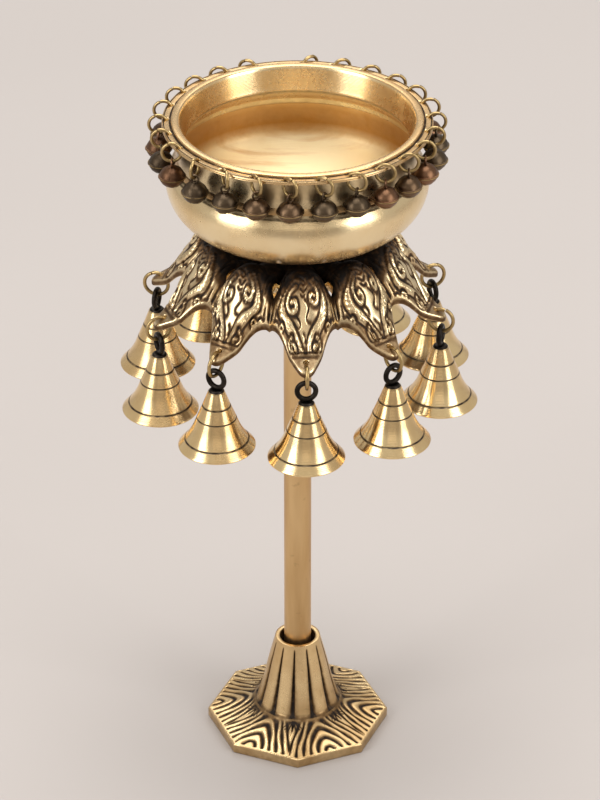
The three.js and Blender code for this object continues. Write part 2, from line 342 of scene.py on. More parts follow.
def brass(name, light, deep, dark, rough, tarnish, fields=(), marks=0.0, pits=0.0, streak=None,
          grain=0.12, spotted=0.25, bronze=0.0):
    """Brass with cloudy tarnish, fine scratches, and patina or tints where their fields ask for them. The
    patina field also holds painted shade and painted highlights, and some tints are painted light.
    """
    n = Nodes(name)
    cloud = n.spread(n.noise(38, 5, streak), 0.38, 0.66)
    fine = n.noise(420, 3, streak)
    colour = n.mix(n.math("MULTIPLY", cloud, tarnish), rgba(light), rgba(deep))
    spots = n.spread(n.noise(160, 2), 0.66, 0.74)
    colour = n.mix(n.math("MULTIPLY", spots, spotted * tarnish), colour, rgba(dark))
    cloudy = n.spread(cloud, 0, 1, rough, rough + 0.1)
    roughness = n.math("ADD", cloudy, n.spread(fine, 0.3, 0.7, -0.03, 0.04))
    normal = n.bump(fine, grain, 0.0002)
    metal = 1.0
    if "amber_tarnish_and_shade" in fields:
        colour = tinted(n, colour)
        roughness = n.math("ADD", roughness, n.math("MULTIPLY", n.field("brushed_and_highlit"), 0.3))
    if marks:
        normal = lathe_marks(n, marks, normal)
    if pits:
        hole = n.spread(n.noise(230, 1), 0.7, 0.78)
        normal = n.bump(n.math("MULTIPLY", hole, -1.0), pits, 0.0005, normal)
        colour = n.mix(n.math("MULTIPLY", hole, 0.8), colour, rgba(dark))
    # Patina, with painted shade and painted highlights where a mesh puts them into this field.
    if "patina_and_shade" in fields:
        mask = n.math("MULTIPLY", n.field("patina_and_shade"), n.spread(n.noise(300, 4), 0.3, 0.7, 0.75, 1.25))
        aged_and_shaded = n.spread(mask, 0.0, 0.5, 0.0, bronze)
        colour = n.mix(aged_and_shaded, colour, rgba(BRONZE))
        mask = n.spread(mask, 0.25 * bronze, 1.0)
        colour = n.mix(mask, colour, rgba(dark))
        roughness = n.math("ADD", roughness, n.math("MULTIPLY", n.math("ADD", mask, aged_and_shaded), 0.2))
        metal = n.spread(mask, 0.4, 1.0, 1.0, 0.45)
    n.put(n.shader.inputs["Base Color"], colour)
    n.put(n.shader.inputs["Roughness"], roughness)
    n.put(n.shader.inputs["Metallic"], metal)
    n.put(n.shader.inputs["Normal"], normal)
    return n


def turned_brass(name, light, deep, rough, marks, fields):
    """Lathe-turned brass. Its highlights stretch along the profile."""
    n = brass(name, light, deep, "2e1f12", rough, 0.5, fields, marks=marks, grain=0.03, spotted=0.06)
    tangent = n.tree.nodes.new("ShaderNodeTangent")
    tangent.direction_type = "RADIAL"
    tangent.axis = "Z"
    n.tree.links.new(tangent.outputs["Tangent"], n.shader.inputs["Tangent"])
    n.shader.inputs["Anisotropic"].default_value = 0.6
    n.shader.inputs["Anisotropic Rotation"].default_value = 0.25
    return n.material


BELL_BRASS = turned_brass("bell_brass", "f7dba6", "cda369", 0.17, 0.3, ["patina_and_shade"])
BOWL_BRASS = turned_brass("bowl_brass", "f6e0b4", "ddba82", 0.2, 0.25, ["patina_and_shade", "brushed_and_highlit", "amber_tarnish_and_shade"])
POLE_BRASS = brass("pole_brass", "dfbd8a", "b58a54", "6a4826", 0.3, 0.9, streak=(1, 1, 0.12)).material
CROWN_BRASS = brass(
    "crown_brass", "ffebc0", "c79c60", "120a04", 0.19, 0.5, ["patina_and_shade"], bronze=0.9
).material
BASE_BRASS = brass(
    "base_brass", "e8cc9b", "b48d58", "1f140b", 0.25, 0.6, ["patina_and_shade"], bronze=0.7
).material
RING_BRASS = brass("ring_brass", "c2a877", "77623d", "20160c", 0.28, 0.9).material
JINGLE_METALS = [
    brass(name, light, deep, dark, rough, 0.9, pits=0.9, grain=0.8).material
    for name, light, deep, dark, rough in (
        ("jingle_dark", "6b5b48", "332a22", "0d0a08", 0.33),
        ("jingle_brown", "77604a", "3b2d22", "0f0a07", 0.31),
        ("jingle_copper", "8d6a50", "4a3427", "120b07", 0.31),
    )
]
BLACKENED = brass("blackened_loop", "37322e", "1c1814", "070504", 0.38, 0.8, pits=0.5, grain=0.3).material
IRON = brass("clapper_iron", "6d6963", "4b3c30", "1c120c", 0.45, 0.9, pits=0.5).material
ZINC = brass("bolt_steel", "9b9c9c", "6e6a62", "2a2723", 0.35, 0.6).material


# ---------------------------------------------------------------- bowl

# Profile points on the inner wall and floor, below the inner ridge.
BOWL_INNER_POINTS = 63


def bowl_profile():
    """Closed loop of [r, z] and a patina value for each point."""
    low = FLANGE_BOTTOM_Z
    top = FLANGE_TOP_Z
    parts = [
        ([[0.02, 339.3], [30, 339.3], [44.6, 339.3]], 1, 0.5),
        ([[44.6, 339.3], [45.2, 339.5], [45.6, 340.2]], 3, 0.1),
        ([[46, 340.8], [50.4, 341.4], [56.4, 343.1], [62.4, 346.8], [67.8, 352], [71.7, 358.4], [73.6, 366],
          [72.8, 372], [70.6, 376.6]], 7, 0.0),
        ([[70.2, 377.2], [69.7, 377.6], [69.7, 377.9], [69.8, 378.2]], 2, 0.7),
        ([[69.4, 378.9], [68, 380.7], [67.1, 385], [66.9, 391], [66.9, 398.6], [67.5, low - 0.4]], 5, 0.26),
        ([[68.3, low], [74.6, low], [75.2, low + 0.4], [75.3, low + 0.9], [75.2, top - 0.4], [74.8, top]],
         2, 0.05),
        ([[74.5, top], [74.2, top - 0.35], [73.9, top]], 2, 0.9),
        ([[73.6, top], [71.4, top]], 1, 0.1),
        ([[71.1, top - 0.1], [70.6, top - 0.6], [70.1, top - 0.1]], 2, 1.0),
        ([[70.1, 403.8], [69.9, 404.5], [69.2, 404.85], [67.7, 404.95], [66.3, 404.8], [65.6, 404.2]],
         3, 0.0),
        ([[65.2, 402.6], [64.2, 398.4], [63, 393.4], [62.4, 391.2]], 4, 0.0),
        ([[62.3, 390.6], [62.9, 389.8]], 2, 0.5),
        ([[64.2, 388], [67.2, 383.6], [68.6, 380]], 4, 0.06),
        ([[69.4, 376], [70.1, 368], [69.7, 362.4]], 6, 0.12),
        ([[68.9, 360], [67.8, 358.8], [64, 356.4], [56, 354], [44, 352.2], [28, 351.4], [12, 351.2],
          [0.02, 351.2]], 6, 0.02),
    ]
    points = []
    patina_and_shade = []
    for control, steps, dark in parts:
        curve = smooth(control, steps) if len(control) > 2 else np.array(control)
        points.append(curve)
        patina_and_shade += [dark] * len(curve)
    return np.vstack(points), patina_and_shade


def build_bowl():
    profile, patina_and_shade = bowl_profile()
    heights = profile[:, 1]
    inside = np.arange(len(profile)) >= len(profile) - BOWL_INNER_POINTS
    # Brush finish inside below the ridge: rougher, and painted pale there as a painted highlight on the
    # floor and lower wall.
    brushed_and_highlit = inside * np.clip((384 - heights) / 14, 0, 1)
    # Inside, the warm golden tint is tarnish with painted shade and painted interreflected glow under the
    # inner ridge.
    amber_tarnish_and_shade = inside * np.interp(heights, [356.5, 361, 367, 378, 386, 389], [0, 0.4, 0.9, 0.75, 0.25, 0])
    # Outside, it is painted shade on the underside of the belly, just above the crown.
    amber_tarnish_and_shade = amber_tarnish_and_shade + (1 - inside) * np.clip((350 - heights) / 8, 0, 0.95)
    # On the flange and lip it is a plain warm tint.
    amber_tarnish_and_shade = amber_tarnish_and_shade + 0.42 * (heights > 401.4) * (profile[:, 0] > 65.8)
    mesh = turned("bowl_body", profile, 200, patina_and_shade, brushed_and_highlit=brushed_and_highlit, amber_tarnish_and_shade=amber_tarnish_and_shade)
    sides = 14
    verts = []
    faces = []
    for j in range(JINGLES):
        centre = polar(FLANGE_HOLE_R, jingle_angle(j), 0) / MM
        faces += prism_faces(len(verts), sides)
        verts += [
            [centre.x + DRILL_R * math.cos(a), centre.y + DRILL_R * math.sin(a), z]
            for z in (FLANGE_BOTTOM_Z - 1.2, FLANGE_TOP_Z + 0.7)
            for a in np.arange(sides) * TAU / sides
        ]
    mesh = cut(mesh, mesh_from("flange_drills", verts, faces))
    mesh.name = "bowl_body"
    return shown("bowl_body", mesh, BOWL_BRASS, "stand", ["bowl"])


def jingle_angle(j):
    """Degrees from the front at which a jingle hangs."""
    return FIRST_JINGLE - JINGLE_STEP * j


def jingle_swivel(j):
    """Turn of a jingle ring away from the radial direction, mostly towards a plane across the lamp."""
    angle = jingle_angle(j)
    near_front = -55 < angle < 0
    turn = MAX_SWIVEL + 1.85 * (angle + 34) if near_front else math.copysign(90, angle) - angle
    return max(-MAX_SWIVEL, min(MAX_SWIVEL, turn))


# ---------------------------------------------------------------- crown

# Edge of half a petal as [degrees from its middle, distance from the axis].
PETAL_EDGE = np.array([
    [0, 86.2], [0.8, 86.1], [1.8, 85.5], [2.8, 84.2], [4.4, 80.8], [6.6, 76.4], [8.4, 72.6], [10.4, 69.3],
    [12.4, 66.6], [14.4, 64.5], [16.4, 62.7], [18, 62],
])
# Top of a petal as [distance from the axis, height], along its middle and along its sides.
RIDGE = np.array([
    [20, 324], [34, 327], [42, 332.2], [48, 334], [53, 332], [58, 326.4], [63, 318.4], [68, 309.6],
    [73, 300.9], [76.5, 296.9], [86.2, 291.7],
])
VALLEY = np.array([
    [20, 323], [34, 321.4], [46, 319.6], [54, 315.4], [62, 306.8], [69, 300.8], [76.5, 296.4], [86.2, 291.5],
])

# Raised bands as [distance from axis, sideways] in millimetres, half width and height.
ROPES = [
    ([[53.2, -4.4], [55.4, -7.2], [57.6, -10], [60.2, -12], [62.8, -11.9], [65.4, -10.1], [68.2, -7.6],
      [71.6, -5], [75.2, -2.9]], 1.85, 1.3),
    ([[52.6, 4.6], [54.6, 7.2], [57.2, 9.8], [60, 11.2], [62.8, 10.7], [65.4, 8.8], [68.4, 6.3], [71.8, 4.1],
      [75.2, 2.6]], 1.85, 1.3),
    ([[55.4, -4.6], [57.6, -7.4], [60.4, -8.6], [62.6, -7.8], [63.3, -5.8], [62, -4.2], [60.4, -4.6],
      [60.4, -6.2]], 0.75, 0.75),
    ([[53.4, 3], [55.3, 5.8], [57.8, 7.4], [60.2, 7.2], [61, 5.4], [59.9, 3.9], [58.4, 4.4], [58.4, 5.8]],
     0.75, 0.75),
    ([[70.6, -6.7], [72, -8.4], [74, -8.3], [75, -6.9], [74.3, -5.4], [72.9, -5.7], [73, -6.9]], 0.55, 0.7),
    ([[70.6, 6.5], [72, 8.2], [74, 8.1], [75, 6.7], [74.3, 5.2], [72.9, 5.5], [73, 6.7]], 0.55, 0.7),
    ([[64, -16.2], [66, -15.4], [67.6, -13.6], [66.8, -12.3], [65.4, -13], [65.8, -14.3]], 0.5, 0.6),
    ([[64, 16], [66, 15.2], [67.6, 13.4], [66.8, 12.1], [65.4, 12.8], [65.8, 14.1]], 0.5, 0.6),
]
# Engraved marks in the bright middle of a petal.
MARKS = [
    [[60.2, 0.6], [61.2, 2], [62.8, 2.9], [64.2, 1.8], [65.3, 1], [66.5, 1.9], [66.8, 3.7]],
    [[64.8, -4.7], [65.8, -3.4], [67.2, -2.9], [68, -3.9], [67.6, -5]],
    [[56.4, -2.2], [57.8, 0], [56.2, 2]],
    [[52, -1.6], [54, 0.6], [55.2, -0.4], [54.2, -1.8]],
    [[69.6, -0.8], [70.8, 0.5], [72.2, 0.1]],
    [[58.6, -2], [59.4, -0.6], [59, 1]],
]
# Ribs beside a valley, in degrees from the middle of the petal.
VALLEY_RIBS = [12.6, 14.4, 16.2, 18]
# Raised bar before the plain tip of a petal.
BAR_R = 76.4
PETAL_COLUMNS = 72


def nearest(x, y, path):
    """Distance from every point to a drawn path, and how far along it is."""
    p = np.asarray(path, float)
    best = np.full(x.shape, 1e9)
    where = np.zeros(x.shape)
    gone = 0.0
    for (x0, y0), (x1, y1) in zip(p[:-1], p[1:]):
        dx, dy = x1 - x0, y1 - y0
        length = math.hypot(dx, dy)
        t = np.clip(((x - x0) * dx + (y - y0) * dy) / length**2, 0, 1)
        gap = np.hypot(x - x0 - t * dx, y - y0 - t * dy)
        closer = gap < best
        best = np.where(closer, gap, best)
        where = np.where(closer, gone + t * length, where)
        gone += length
    return best, where


def petal_top(r, away):
    """Height of the smooth petal at a distance from the axis and degrees from its middle."""
    x = np.abs(away) / (STEP / 2)
    rounded = 0.84 * (1 - x**2.5) + 0.08 * (1 + np.cos(math.pi * x))
    ridge_curve = smooth(RIDGE, 8)
    valley_curve = smooth(VALLEY, 8)
    ridge = np.interp(r, ridge_curve[:, 0], ridge_curve[:, 1])
    valley = np.interp(r, valley_curve[:, 0], valley_curve[:, 1])
    return valley + (ridge - valley) * rounded


def valley_ribs(r, away, height, dark):
    """Adds the ribs and dark lines in the valleys between petals, with a painted highlight on the crest of
    each rib.
    """
    valley = np.clip((np.abs(away) - 11.2) / 0.8, 0, 1) * np.clip((66 - r) / 2, 0, 1)
    crest = np.zeros(r.shape)
    for rib in VALLEY_RIBS:
        gap = np.radians(np.abs(away) - rib + 0.4 * np.sin(r * 0.3 + rib)) * r
        crest = np.maximum(crest, np.clip(1 - (gap / 0.95) ** 2, 0, 1))
    height = height + valley * (1.1 * np.sqrt(crest) - 0.4)
    # Painted highlight: each rib is lighter along its crest, and dark patina lies between the ribs.
    dark = dark * (1 - valley) + valley * np.where(crest > 0.25, 0.42 - 0.25 * crest, 0.95)
    return height, dark


def raised_ropes(x, y, height, dark):
    """Adds the corded bands and scrolls, each with a dark trench round it."""
    for path, half, tall in ROPES:
        gap, run = nearest(x, y, smooth(path, 5))
        band = np.clip(1 - (gap / half) ** 2, 0, 1)
        notch = np.cos((run + 0.25 * gap) * TAU / 1.6)
        beads = 0.88 + 0.12 * notch if half > 1 else 1.0
        height = np.where(band > 0, np.maximum(height, 0) * (1 - band), height)
        height = np.maximum(height, tall * np.sqrt(band) * beads)
        trench = np.exp(-(((gap - half - 0.5) / 0.62) ** 2)) * (gap > half - 0.1)
        height = height - 0.75 * trench
        dark = np.maximum(np.where(gap < half, 0.0, dark), trench)
        if half > 1:
            dark = np.maximum(dark, 0.3 * (gap < half * 0.8) * np.clip(-notch, 0, 1))
    return height, dark


def cut_marks(x, y, height, dark):
    """Adds the engraved strokes."""
    for path in MARKS:
        gap, _ = nearest(x, y, smooth(path, 5))
        trench = np.exp(-((gap / 0.5) ** 2))
        height = height - 0.6 * trench
        dark = np.maximum(dark, trench)
    return height, dark


def plain_tip(r, height, dark):
    """Ends the ornament at a raised bar and leaves the tip plain, with a painted shadow of the bar on the
    tip.
    """
    plain = np.clip((r - BAR_R + 0.9) / 0.4, 0, 1)
    bar = np.exp(-(((r - BAR_R) / 0.6) ** 2))
    line = np.exp(-(((r - BAR_R + 1.15) / 0.35) ** 2))
    height = 1.15 * height * (1 - plain) + 0.8 * bar - 0.3 * line
    # The groove before the bar is dark patina, and the dark line just past the bar is a painted shadow of
    # the bar.
    dark = dark * (1 - plain) + 0.9 * line + 0.6 * np.exp(-(((r - BAR_R - 1.2) / 0.35) ** 2)) + 0.38 * plain
    return height, dark


def relief(r, away, shift):
    """Height of the cast ornament at points of one petal, and how dark it is: patina, painted shade and
    painted highlights.
    """
    side = np.radians(away) * r
    bend = 0.35 * np.sin(r * 0.55 + shift) + 0.3 * np.sin(side * 0.6 + 2 * shift)
    x = r + 0.5 * bend
    y = side + bend
    # Painted highlight: the middle of each petal is left light, while its sides get a painted shade.
    painted_highlight = np.exp(-((side / 6) ** 2)) * np.clip((r - 57) / 4, 0, 1)
    height, dark = valley_ribs(r, away, np.zeros(r.shape), 0.4 - 0.4 * painted_highlight)
    height, dark = raised_ropes(x, y, height, dark)
    height, dark = cut_marks(x, y, height, dark)
    # Painted shade under the bowl, together with patina: the petals go black towards the hub.
    dark = np.maximum(dark, np.clip((57.5 - r) / 6, 0, 1) ** 0.7)
    height, dark = plain_tip(r, height, dark)
    return height, np.clip(dark, 0, 1)


def crown_top(away, angle, edge):
    """Ornamented top of all petals as rows of points, and its patina with painted shade and highlights."""
    share = np.concatenate([np.linspace(0, 0.32, 9)[:-1], np.linspace(0.32, 0.985, 96)])
    r = HUB_R + (edge - HUB_R) * share[:, None]
    a = np.broadcast_to(away, r.shape)
    z = petal_top(r, a)
    height = np.zeros(r.shape)
    dark = np.zeros(r.shape)
    for p in range(PETALS):
        cols = slice(p * PETAL_COLUMNS, (p + 1) * PETAL_COLUMNS)
        height[:, cols], dark[:, cols] = relief(r[:, cols], a[:, cols], p * 1.7)
    rim = np.clip((edge - r) / 1.6, 0, 1)
    height = (height + 0.25) * rim - 0.25
    top = np.stack([r * np.sin(angle), -r * np.cos(angle), z], axis=-1)
    down = np.gradient(top, axis=0)
    across = (np.roll(top, -1, axis=1) - np.roll(top, 1, axis=1)) / 2
    normal = np.cross(across, down)
    normal /= np.linalg.norm(normal, axis=-1, keepdims=True) + 1e-9
    normal *= np.sign(normal[..., 2:3])
    # Near a valley the ornament rises straight up, so that the two sides don't cross.
    upright = np.clip((np.abs(away) - 11.5) / 4, 0, 1)[None, :, None]
    normal = normal * (1 - upright) + np.array([0, 0, 1]) * upright
    fade = np.clip((r - 30) / 6, 0, 1)[..., None]
    return top + normal * height[..., None] * fade, dark * rim**0.5


def crown_grid():
    """Top, wall, underside and bore of the crown as rows of points with patina and painted shade."""
    away = np.tile((np.arange(PETAL_COLUMNS) - PETAL_COLUMNS / 2) * STEP / PETAL_COLUMNS, PETALS)
    middle = np.repeat(TWIST + np.arange(PETALS) * STEP, PETAL_COLUMNS)
    angle = np.radians(middle + away)
    edge = np.interp(np.abs(away), PETAL_EDGE[:, 0], PETAL_EDGE[:, 1])
    top, dark = crown_top(away, angle, edge)
    rows = [top]
    darks = [dark]

    def add(radius, level, shade):
        ring = np.stack([radius * np.sin(angle), -radius * np.cos(angle), level], axis=-1)
        rows.append(ring[None])
        darks.append(np.full((1, len(angle)), shade))

    level = petal_top(edge, away)
    thick = np.interp(edge, [60, 75, 86], [5, 3.9, 3.8])
    add(edge - 0.25, level - 0.3, 0.0)
    add(edge, level - 0.9, 0.3)
    add(edge + 0.1, level - thick * 0.5, 0.5)
    add(edge, level - thick + 0.5, 0.5)
    add(edge - 0.5, level - thick, 0.2)
    for part in (0.93, 0.86, 0.76, 0.65, 0.52, 0.38, 0.24, 0.1):
        radius = HUB_R + (edge - HUB_R) * part
        below = petal_top(radius, away) - np.interp(radius, [20, 60, 75, 86], [6, 5, 3.9, 3.8])
        add(radius, below, 0.45)
    flat = np.ones_like(edge)
    for radius, height in ((15, 318), (13, 316.8), (13, 312), (4.5, 312), (4.4, 325), (4.5, 339.2)):
        add(radius * flat, height * flat, 0.5)
    for radius, height in ((19.4, 339.3), (20, 338.8), (20, 326)):
        add(radius * flat, height * flat, 0.6)
    return np.concatenate(rows), np.concatenate(darks)


def crown_tools():
    """Tip holes and the slits between petals, as one cutter."""
    verts = []
    faces = []
    sides = 16
    for p in range(PETALS):
        tip = placed(TIP_HOLE[0], TWIST + p * STEP, TIP_HOLE[1]) @ Matrix.Rotation(TIP_SLOPE, 4, "Y")
        slit = placed(46.5, TWIST + (p + 0.5) * STEP, 316)
        for matrix, wide, narrow, reach in ((tip, 1.8, 1.8, 6), (slit, 4.6, 1.9, 14)):
            faces += prism_faces(len(verts), sides)
            for z in (-reach, reach):
                for i in range(sides):
                    angle = i * TAU / sides
                    point = Vector((wide * math.cos(angle), narrow * math.sin(angle), z)) * MM
                    verts.append(list((matrix @ point) / MM))
    return mesh_from("crown_tools", verts, faces)


def build_crown():
    rows, dark = crown_grid()
    count, columns = rows.shape[:2]
    verts = rows.reshape(-1, 3)
    faces = outward(verts, grid_faces(count, columns, True))
    mesh = mesh_from("crown_body", verts, faces, {"patina_and_shade": dark}, sharp=38)
    mesh = cut(mesh, crown_tools())
    mesh.name = "crown_body"
    return shown("crown_body", mesh, CROWN_BRASS, "stand", ["crown"])


# ---------------------------------------------------------------- base

BASE_CORNER_R = 54.1
BASE_COLUMNS = 720
# Cone of the foot as [height, radius].
CONE = np.array([[15, 25.6], [16.2, 24.4], [18.5, 23.6], [30, 20.4], [44, 17.2], [59.3, 13.3]])
# Nested arches of the plate.
ARCH_AXES = [-36, 24, 84, 144, 204, 264]
ARCH_GAP = 4.5
ARCH_R = 47
ARCH_REACH = 50
ARCH_STRETCH = 0.64
ARCH_POWER = 1.8
ARCH_FIRST = 3.1


def octagon(angle):
    """Distance to the edge of an octagon whose corners are at 1."""
    inside = np.mod(angle, 45) - 22.5
    return math.cos(math.radians(22.5)) / np.cos(np.radians(inside))


def engraving(x, y):
    """Nested pointed arches cut into the plate, opening to the edge."""
    cut_depth = np.zeros(x.shape)
    angle = np.degrees(np.arctan2(x, -y))
    r = np.hypot(x, y)
    for k, axis in enumerate(ARCH_AXES):
        off = np.mod(angle - axis + 180, 360) - 180
        sideways = np.abs(np.radians(off)) * ARCH_R + 0.5 * np.sin(r * 0.22 + k * 2.1)
        back = np.maximum(ARCH_REACH - r * np.cos(np.radians(off)), 0)
        arch = (np.abs(sideways) ** ARCH_POWER + (ARCH_STRETCH * back) ** ARCH_POWER) ** (1 / ARCH_POWER)
        phase = (arch - ARCH_FIRST) / ARCH_GAP
        line = np.abs(phase - np.round(phase)) * ARCH_GAP * np.clip(r / ARCH_R, 0.6, 1.1)
        width = 0.66 + 0.2 * np.sin(r * 0.4 + 3 * np.round(phase))
        groove = np.exp(-((line / width) ** 2))
        inside = (np.abs(off) < 30) & (phase > -0.5)
        cut_depth = np.maximum(cut_depth, groove * inside)
    return cut_depth


def leaf_tuft(x, y):
    """Small feathery leaves at the foot of the cone."""
    out = np.zeros(x.shape)
    for k in range(6):
        axis = math.radians(k * 60 - 6)
        px = x * math.sin(axis) - y * math.cos(axis)
        py = x * math.cos(axis) + y * math.sin(axis)
        for slope in (-1.2, -0.75, -0.35, 0, 0.35, 0.75, 1.2):
            line = py - slope * (px - 25)
            on = (px > 26.4) & (px < 32.5 - 1.8 * abs(slope))
            out = np.maximum(out, np.exp(-((line / 0.45) ** 2)) * on)
    return out


def plate_rows(angle):
    """Rim and engraved top of the foot, as rows of radius, height and patina."""
    turn = np.radians(angle)
    corner = BASE_CORNER_R * octagon(angle)
    rows = [
        (corner - 0.6, 0.0, 0.3),
        (corner - 0.1, 0.4, 0.2),
        (corner, 1.2, 0.2),
        (corner, 5.2, 0.2),
        (corner - 0.15, 6.0, 0.0),
        (corner - 0.7, 6.3, 0.0),
    ]
    dome = smooth([[0, 6.35], [0.42, 8.6], [0.82, 12], [1, 15]], 8)
    for share in np.linspace(0.02, 1, 62):
        radius = corner - 0.9 + (25.6 - corner + 0.9) * share
        level = np.interp(share, dome[:, 0], dome[:, 1])
        x = radius * np.sin(turn)
        y = -radius * np.cos(turn)
        clear = np.clip((corner - radius - 1.6) / 0.6, 0, 1) * np.clip((radius - 26.4) / 1.2, 0, 1)
        lines = engraving(x, y) * clear
        tuft = leaf_tuft(x, y)
        depth = np.maximum(lines * 1.1, tuft * 0.5)
        foot = np.clip((29 - radius) / 2.5, 0, 1) * 0.45
        rows.append((radius, level - depth, np.clip(np.maximum(lines * 1.4, tuft * 1.1) + foot, 0, 1)))
    return rows


def cone_rows(angle):
    """Fluted cone and its collar, as rows of radius, height and patina."""
    rows = []
    curve = smooth(CONE[:, ::-1], 10)
    for radius, level in curve[1:]:
        wide = np.interp(level, [16, 24, 58], [0.52, 0.42, 0.17])
        deep = np.interp(level, [15, 18, 30, 50, 55.5, 57], [0.3, 1.6, 1.7, 1.2, 0.8, 0.0])
        away = (np.mod(angle + 7.5 + 15, 30) - 15) / (wide * 6.4)
        dip = np.exp(-(np.abs(away) ** 3))
        foot = np.clip((17.5 - level) / 2, 0, 1) * 0.5
        side = np.clip(1.6 - 0.45 * np.abs(away), 0, 1) * 0.3
        shade = np.clip(dip * 0.75 + side + foot, 0, 1) * min(1.0, deep * 2 + foot)
        rows.append((radius - deep * dip, level, shade))
    return rows + [(13.3, 59.1, 0.0), (12.9, 59.35, 0.0), (11.1, 59.35, 0.1), (10.65, 59.0, 0.4)]


def hollow_rows(angle):
    """Socket of the pole and the hollow underside, as rows of radius, height and patina."""
    rows = [(10.6, level, 0.9) for level in (50, 40.6, 40)]
    for radius, level in ((4.4, 40), (4.4, 35), (12.5, 35), (18.4, 16), (22, 10.6)):
        rows.append((radius, level, 0.55))
    for inset, level, shade in ((7, 4.4, 0.5), (8.8, 0.4, 0.5), (8.6, 0.0, 0.4)):
        rows.append(((BASE_CORNER_R - inset) * octagon(angle), level, shade))
    return rows


def base_grid():
    """The whole foot as rows of points with patina."""
    angle = np.arange(BASE_COLUMNS) * 360 / BASE_COLUMNS
    turn = np.radians(angle)
    whole = np.ones(BASE_COLUMNS)
    points = []
    darks = []
    for radius, level, shade in plate_rows(angle) + cone_rows(angle) + hollow_rows(angle):
        points.append(np.stack([radius * np.sin(turn), -radius * np.cos(turn), level * whole], axis=-1))
        darks.append(shade * whole)
    return np.array(points), np.array(darks)


def build_base():
    rows, dark = base_grid()
    verts = rows.reshape(-1, 3)
    faces = outward(verts, grid_faces(*rows.shape[:2], True))
    mesh = mesh_from("foot_casting", verts, faces, {"patina_and_shade": dark}, sharp=50)
    return shown("foot_casting", mesh, BASE_BRASS, "stand", ["base"])


def build_pole():
    outer = [[8, z] for z in np.linspace(40.4, 311.6, 40)]
    inner = [[6, 312], [6, 40]]
    profile = [[7.7, 40], *outer, [7.7, 312], *inner]
    mesh = turned("pole_tube", profile, 64)
    shown("pole_tube", mesh, POLE_BRASS, "stand", ["pole"])


def build_bolt():
    head = []
    for z, r in ((28.2, 6.2), (28.7, 7.1), (33.6, 7.2)):
        head.append([[r * math.cos(a), r * math.sin(a), z] for a in np.arange(6) * TAU / 6])
    verts = np.array(head).reshape(-1, 3)
    faces = [list(f) for f in grid_faces(3, 6)] + [[5, 4, 3, 2, 1, 0], [12, 13, 14, 15, 16, 17]]
    shown("bolt_head", mesh_from("bolt_head", verts, faces), ZINC, "stand", ["tie_bolt"])
    washer = [[4, 33.6], [9, 33.6], [9.4, 33.9], [9.4, 34.7], [9, 35], [4, 35]]
    shown("bolt_washer", turned("bolt_washer", washer, 48), ZINC, "stand", ["tie_bolt"])
    rod = [[0.02, 29.2]]
    for k in range(24):
        rod += [[3.9, 30 + k * 0.9], [3.35, 30.45 + k * 0.9]]
    rod += [[3.7, 54], [3.7, 320]]
    for k in range(20):
        rod += [[3.35, 321 + k * 1.1], [3.9, 321.55 + k * 1.1]]
    rod += [[3.2, 343.6], [0.02, 343.6]]
    shown("bolt_rod", turned("bolt_rod", rod, 24, closed=False), ZINC, "stand", ["tie_bolt"])


# ---------------------------------------------------------------- bells


def ring_path(mid, gap, steps, lean):
    """Almost closed circle of wire whose two ends pass a little to each side."""
    angle = np.linspace(gap, 360 - gap, steps)
    turn = np.radians(angle + 70)
    side = lean * np.clip((angle - 180) / 180, -1, 1) ** 3
    flat = mid * np.cos(turn)
    up = mid * np.sin(turn)
    return np.stack([flat, side, up], axis=-1)


def circle(mid, plane, steps):
    """Points of a circle in the XZ or the YZ plane."""
    turn = np.arange(steps) * TAU / steps
    zero = np.zeros(steps)
    flat = mid * np.cos(turn)
    up = mid * np.sin(turn)
    return np.stack([flat, zero, up] if plane == "xz" else [zero, flat, up], axis=-1)


def bell_profile():
    """Outside with three cut lines, rounded lip and hollow inside."""
    outside = smooth([
        [4.5, 0], [6.2, -4.4], [7.9, -9], [11, -16.6], [13.7, -23.4], [16.6, -28.4], [19.2, -31.6],
        [21.5, -34.2],
    ], 9)
    points = []
    patina_and_shade = []
    grooves = (9, 16.7, 30.1)
    levels = sorted(
        set(np.round(np.linspace(0, 34.2, 60), 3))
        | {round(g + d, 3) for g in grooves for d in (-0.3, -0.18, 0, 0.18, 0.3)}
    )
    for level in levels:
        r = np.interp(level, -outside[:, 1], outside[:, 0])
        gap = min(abs(level - g) for g in grooves)
        dip = 0.32 * (gap < 0.2)
        points.append([r - dip, -level])
        patina_and_shade.append(0.9 if gap < 0.31 else max(0.0, 0.5 - level * 0.5))
    lip = [[21.75, -34.6], [21.65, -35.1], [21.2, -35.3], [20.7, -35]]
    inside = smooth([
        [19.8, -33.8], [16.4, -29.8], [12.2, -23.4], [9.4, -17.4], [6.2, -9.4], [3.6, -4], [2, -3],
        [0.02, -3],
    ], 4)
    points += lip + inside.tolist()
    patina_and_shade += [0.05] * 4 + [0.35] * len(inside)
    points += [[0.02, 0.0]]
    patina_and_shade += [1.0]
    return points, patina_and_shade


